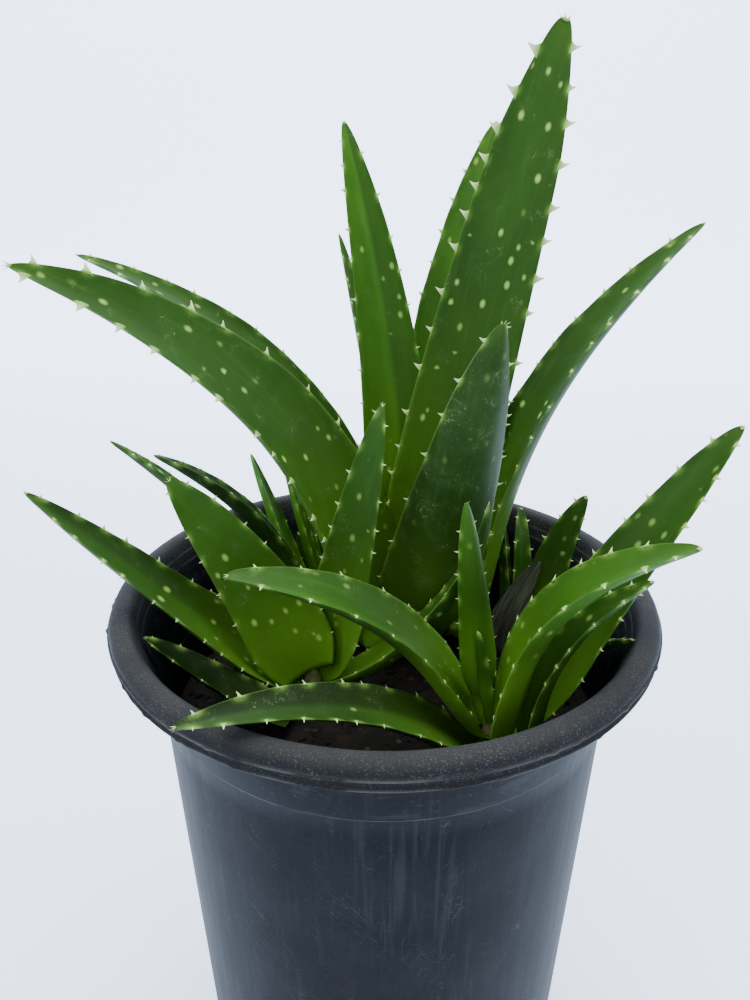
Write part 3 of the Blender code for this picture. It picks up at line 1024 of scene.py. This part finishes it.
def pot_finish(settings):
    """Satin blow-moulded plastic: rubbed rim, brush streaks, scratches, dust, lime specks and painted
    highlights along the lip, the second ridge and the step line.
    """
    shell = Finish("pot_plastic_worn", roughness=0.5, specular=0.05)
    place = shell.place()
    x, y, z = place.parts()
    around = shell.math("ARCTAN2", y, x)
    wrap = shell.vector(x, y, z * 0.06)
    streaks = shell.noise(wrap, 330.0, detail=4.0, rough=0.6)
    broad = shell.noise(wrap, 60.0, detail=3.0)
    cloud = shell.noise(place, 34.0, detail=5.0, rough=0.6)
    grit = shell.noise(place, 900.0, detail=2.0)
    dust = shell.noise(place, 2400.0, detail=1.0).ramp(0.58, 0.70)
    facing = shell.node("ShaderNodeNewGeometry", {}, {}, output=1).parts()[2]
    rim = z.ramp(RIM_Z - 12 * MM, RIM_Z - 4 * MM)

    tone = shell.mix(cloud.ramp(0.35, 0.75) * 0.35, settings.plastic, settings.worn)
    tone = shell.mix(streaks.ramp(0.52, 0.75) * (1.0 - rim) * 0.4, tone, (0.015, 0.019, 0.024))
    settled = rim * (0.25 + facing.ramp(0.0, 0.9) * 0.75) * (0.45 + cloud * 0.6)
    tone = shell.mix(settled, tone, (0.034, 0.035, 0.036))
    under_lip = z.ramp(RIM_Z - 34 * MM, RIM_Z - 24 * MM) * (1.0 - rim)
    smear = shell.noise(shell.vector(x, y, z * 3.0), 70.0, detail=5.0, rough=0.65).ramp(0.50, 0.72)
    tone = shell.mix(under_lip * smear * 0.5, tone, (0.040, 0.042, 0.045))
    specks = grit.ramp(0.66, 0.76) * (0.30 + rim * 0.5 + under_lip * 0.5)
    tone = shell.mix(specks * 0.45, tone, (0.09, 0.09, 0.09))
    tone = shell.mix(dust * (0.05 + rim * 0.28) * cloud.ramp(0.3, 0.6), tone, (0.15, 0.15, 0.145))
    # Painted highlights: pale lines where light catches the lip, the second ridge and the step line, broken
    # up in patches
    painted_highlight_breaks = shell.noise(shell.vector(x, y, z * 0.2), 90.0, detail=4.0).ramp(0.35, 0.65)
    for drop, width in ((4.15, 0.35), (7.45, 0.35), (STEP_DROP, 0.30)):
        line = z.line_at(RIM_Z - drop * MM, width * 0.4 * MM, width * 1.6 * MM)
        tone = shell.mix(line * painted_highlight_breaks * 0.55, tone, (0.085, 0.088, 0.090))
    brushed = shell.noise(shell.vector(x, y, z * 0.5), 24.0, detail=2.0).ramp(0.50, 0.62)
    hairs = shell.noise(shell.vector(x, y, z * 0.02), 520.0, detail=3.0).ramp(0.52, 0.66)
    tone = shell.mix(brushed * hairs * (1.0 - rim) * 0.30, tone, (0.026, 0.034, 0.040))
    scratches = pot_scratches(shell, around, z)
    tone = shell.mix(scratches * 0.35, tone, (0.07, 0.075, 0.08))
    shell.colour(tone)
    shell.rough(0.40 + settled * 0.25 + specks * 0.2 + streaks * 0.16 - broad * 0.05)
    shell.bump(streaks * 0.5 + cloud * 0.8 + scratches * 0.5 + grit * 0.25, 0.28, 0.5 * MM)
    return shell


def pot_scratches(shell, around, z):
    """Thin scratches that lean either way round the wall."""
    first = shell.noise(shell.vector(around * 2.0 + z * 30.0, z * 9.0, 1.0), 8.0, detail=1.0, warp=0.3)
    second = shell.noise(shell.vector(around * 3.0 - z * 18.0, z * 6.0, 4.0), 7.0, detail=1.0, warp=0.2)
    lines = first.line_at(0.5, 0.0005, 0.004) + second.line_at(0.45, 0.0005, 0.003)
    patch = shell.noise(shell.vector(around * 4.0, z * 30.0, 8.0), 1.6, detail=2.0).ramp(0.50, 0.62)
    return (lines * patch).clipped()


def drain_cutters():
    """Blocks for the drain notches at the pot's foot."""
    made = []
    for number in range(DRAIN_HOLES):
        angle = 2.0 * math.pi * (number + 0.5) / DRAIN_HOLES
        mesh = bpy.data.meshes.new("drain_block")
        block = bmesh.new()
        bmesh.ops.create_cube(block, size=1.0)
        bmesh.ops.scale(block, vec=Vector(DRAIN_BLOCK), verts=block.verts)
        bmesh.ops.bevel(block, geom=block.edges[:], offset=1.5 * MM, segments=3, affect="EDGES")
        block.to_mesh(mesh)
        block.free()
        cutter = add_object("drain_block", mesh)
        foot = wall_outside(0.0)
        cutter.location = (foot * math.cos(angle), foot * math.sin(angle), 0.0)
        cutter.rotation_euler = (0.0, 0.0, angle)
        made.append(cutter)
    return made


def build_pot(settings, finish):
    """The turned shell, a little out of round, with ragged flash along the lip and drain notches."""
    outside, inside = pot_profile(settings)
    turns = np.linspace(0, 2 * math.pi, settings.sides, endpoint=False)
    points = np.array([level_ring(turns, radius, z) for radius, z in outside + inside])
    circle = np.stack([np.cos(turns), np.sin(turns)], axis=1)
    height = np.clip((points[:, :, 2] - 0.4 * RIM_Z) / (0.6 * RIM_Z), 0, 1)
    sway = waves(21, circle * 1.3, octaves=2) * 0.35 * MM
    ripple = waves(22, circle * 9.0, octaves=4) * 0.16 * MM
    outward = np.concatenate([circle, np.zeros((len(turns), 1))], axis=1)
    points += outward[None] * ((sway[None] + ripple[None] * height ** 3) * height)[..., None]
    add_flash(points, circle, outward, settings)
    faces = pot_faces(len(points), len(outside), len(turns))
    cutters = drain_cutters()
    pot = new_piece("pot_shell", points.reshape(-1, 3), faces, "pot", finish)
    apply_cuts(pot, cutters)
    return pot


def add_flash(points, circle, outward, settings):
    """Pushes the lip and the second ridge out where the moulding left ragged flash."""
    draw = np.random.default_rng(8)
    rag = np.clip(waves(23, circle * 60.0, octaves=3) - 0.75, 0, None)
    rag += (draw.uniform(0, 1, len(circle)) > 0.93) * 0.6
    for row, (_, drop) in enumerate(RIM_OUTSIDE):
        if LIP_EDGE[0] < drop < LIP_EDGE[1]:
            points[row] += outward * (rag * settings.burr)[:, None]
        if SECOND_EDGE[0] < drop < SECOND_EDGE[1]:
            points[row] += outward * (np.roll(rag, 40) * settings.burr * 0.7)[:, None]


def pot_faces(rings, under_floor, sides):
    """Faces round the shell, with a flat disc in the middle of the floor on each side."""
    faces = ring_faces(rings, sides)
    last = (rings - 1) * sides
    for i in range(sides):
        j = (i + 1) % sides
        faces.append((last + j, last + i, i, j))
    low = set(range((under_floor - 1) * sides, under_floor * sides))
    high = set(range(under_floor * sides, (under_floor + 1) * sides))
    kept = [face[::-1] for face in faces if not (low.intersection(face) and high.intersection(face))]
    return kept + [tuple(sorted(low)), tuple(sorted(high, reverse=True))]


def apply_cuts(piece, cutters):
    """Cuts the blocks out of a piece for good and removes them."""
    for number, cutter in enumerate(cutters):
        cut = piece.modifiers.new(f"cut_{number}", "BOOLEAN")
        cut.operation = "DIFFERENCE"
        cut.solver = "EXACT"
        cut.object = cutter
    bpy.context.view_layer.update()
    shape = piece.evaluated_get(bpy.context.evaluated_depsgraph_get())
    mesh = bpy.data.meshes.new_from_object(shape)
    piece.modifiers.clear()
    piece.data = mesh
    for cutter in cutters:
        bpy.data.objects.remove(cutter, do_unlink=True)


class ALOE_OT_pot(bpy.types.Operator):
    """Build the nursery pot"""
    bl_idname = "aloe.pot"
    bl_label = "Pot"

    def execute(self, context):
        settings = context.scene.aloe_pot
        build_pot(settings, pot_finish(settings))
        return {"FINISHED"}


# ---- stage

def backdrop_finish(settings):
    """Matt pale paper with the faintest mottle, that glows with painted light, dimmer towards the front of
    the floor.
    """
    paper = Finish("backdrop_paper", roughness=0.9, specular=0.1)
    mottle = paper.noise(paper.place(), 3.0, detail=2.0)
    pale = settings.backdrop
    tone = paper.mix(mottle * 0.25, pale, tuple(c * 0.97 for c in pale))
    paper.colour(tone)
    # Painted light: the glow fades from the back towards the front of the floor
    back = paper.place().parts()[1].ramp(0.1, 1.3)
    lit = 0.40 + back * 0.60
    shown = paper.mix(1.0, tone, paper.vector(lit, lit, lit), "MULTIPLY")
    paper.feed(paper.shader.inputs["Emission Color"], shown)
    paper.shader.inputs["Emission Strength"].default_value = settings.glow
    return paper


def build_backdrop(settings):
    """A floor that sweeps up into a wall."""
    profile = [(FLOOR_FRONT, 0.0), (FLOOR_BACK, 0.0)]
    for step in range(1, SWEEP_STEPS + 1):
        angle = 0.5 * math.pi * step / SWEEP_STEPS
        y = FLOOR_BACK + SWEEP_R * math.sin(angle)
        profile.append((y, SWEEP_R * (1.0 - math.cos(angle))))
    profile.append((FLOOR_BACK + SWEEP_R, WALL_HEIGHT))
    points = [(x, y, z) for y, z in profile for x in (-BACKDROP_HALF, BACKDROP_HALF)]
    faces = [(2 * i, 2 * i + 1, 2 * i + 3, 2 * i + 2) for i in range(len(profile) - 1)]
    mesh = bpy.data.meshes.new("backdrop")
    mesh.from_pydata(points, [], faces)
    mesh.shade_smooth()
    sheet = add_object("backdrop", mesh)
    mesh.materials.append(backdrop_finish(settings).material)


def add_light(name, place, size, power, colour):
    """A round soft light that points at the middle of the rim."""
    lamp = bpy.data.lights.new(name, "AREA")
    lamp.shape = "DISK"
    lamp.size = size
    lamp.energy = power
    lamp.color = colour
    light = add_object(name, lamp)
    light.location = place
    light.rotation_euler = (Vector(MIDDLE) - Vector(place)).to_track_quat("-Z", "Y").to_euler()


def add_camera(settings):
    lens = bpy.data.cameras.new("camera")
    lens.lens = settings.lens
    lens.sensor_width = 36.0
    lens.clip_start = 0.01
    camera = add_object("camera", lens)
    camera.location = (0.0, -settings.camera_back, RIM_Z + settings.camera_up)
    camera.rotation_euler = (0.5 * math.pi - settings.camera_tilt, 0.0, settings.camera_turn)
    bpy.context.scene.camera = camera


def set_sky():
    world = bpy.data.worlds.new("studio")
    world.use_nodes = True
    sky = world.node_tree.nodes["Background"]
    sky.inputs["Color"].default_value = (*SKY_COLOUR, 1.0)
    sky.inputs["Strength"].default_value = SKY_STRENGTH
    bpy.context.scene.world = world


class ALOE_OT_stage(bpy.types.Operator):
    """Set out the backdrop, lights and camera"""
    bl_idname = "aloe.stage"
    bl_label = "Stage"

    def execute(self, context):
        settings = context.scene.aloe_stage
        build_backdrop(settings)
        for light in LIGHTS:
            add_light(*light)
        set_sky()
        add_camera(settings)
        return {"FINISHED"}


# ---- add-on

class ALOE_PT_panel(bpy.types.Panel):
    """Buttons for each piece of the aloe"""
    bl_idname = "ALOE_PT_panel"
    bl_label = "Potted aloe"
    bl_space_type = "VIEW_3D"
    bl_region_type = "UI"
    bl_category = "Aloe"

    def draw(self, context):
        for step in STEPS:
            self.layout.operator(step)
        for group in SETTINGS:
            box = self.layout.box()
            owner = getattr(context.scene, group)
            for name in owner.__annotations__:
                box.prop(owner, name)


STEPS = ("aloe.stage", "aloe.pot", "aloe.mix", "aloe.stems", "aloe.leaves", "aloe.dry_leaf")
SETTINGS = {
    "aloe_leaf": AloeLeafSettings,
    "aloe_pot": AloePotSettings,
    "aloe_mix": AloeMixSettings,
    "aloe_stage": AloeStageSettings,
}
CLASSES = (
    ALOE_OT_stage, ALOE_OT_pot, ALOE_OT_mix, ALOE_OT_stems, ALOE_OT_leaves, ALOE_OT_dry_leaf, ALOE_PT_panel,
)


def register():
    for name, group in SETTINGS.items():
        bpy.utils.register_class(group)
        setattr(bpy.types.Scene, name, bpy.props.PointerProperty(type=group))
    for kind in CLASSES:
        bpy.utils.register_class(kind)


def unregister():
    for kind in reversed(CLASSES):
        bpy.utils.unregister_class(kind)
    for name, group in SETTINGS.items():
        delattr(bpy.types.Scene, name)
        bpy.utils.unregister_class(group)


def main():
    register()
    for step in STEPS:
        group, name = step.split(".")
        getattr(getattr(bpy.ops, group), name)()


if __name__ == "__main__":
    main()
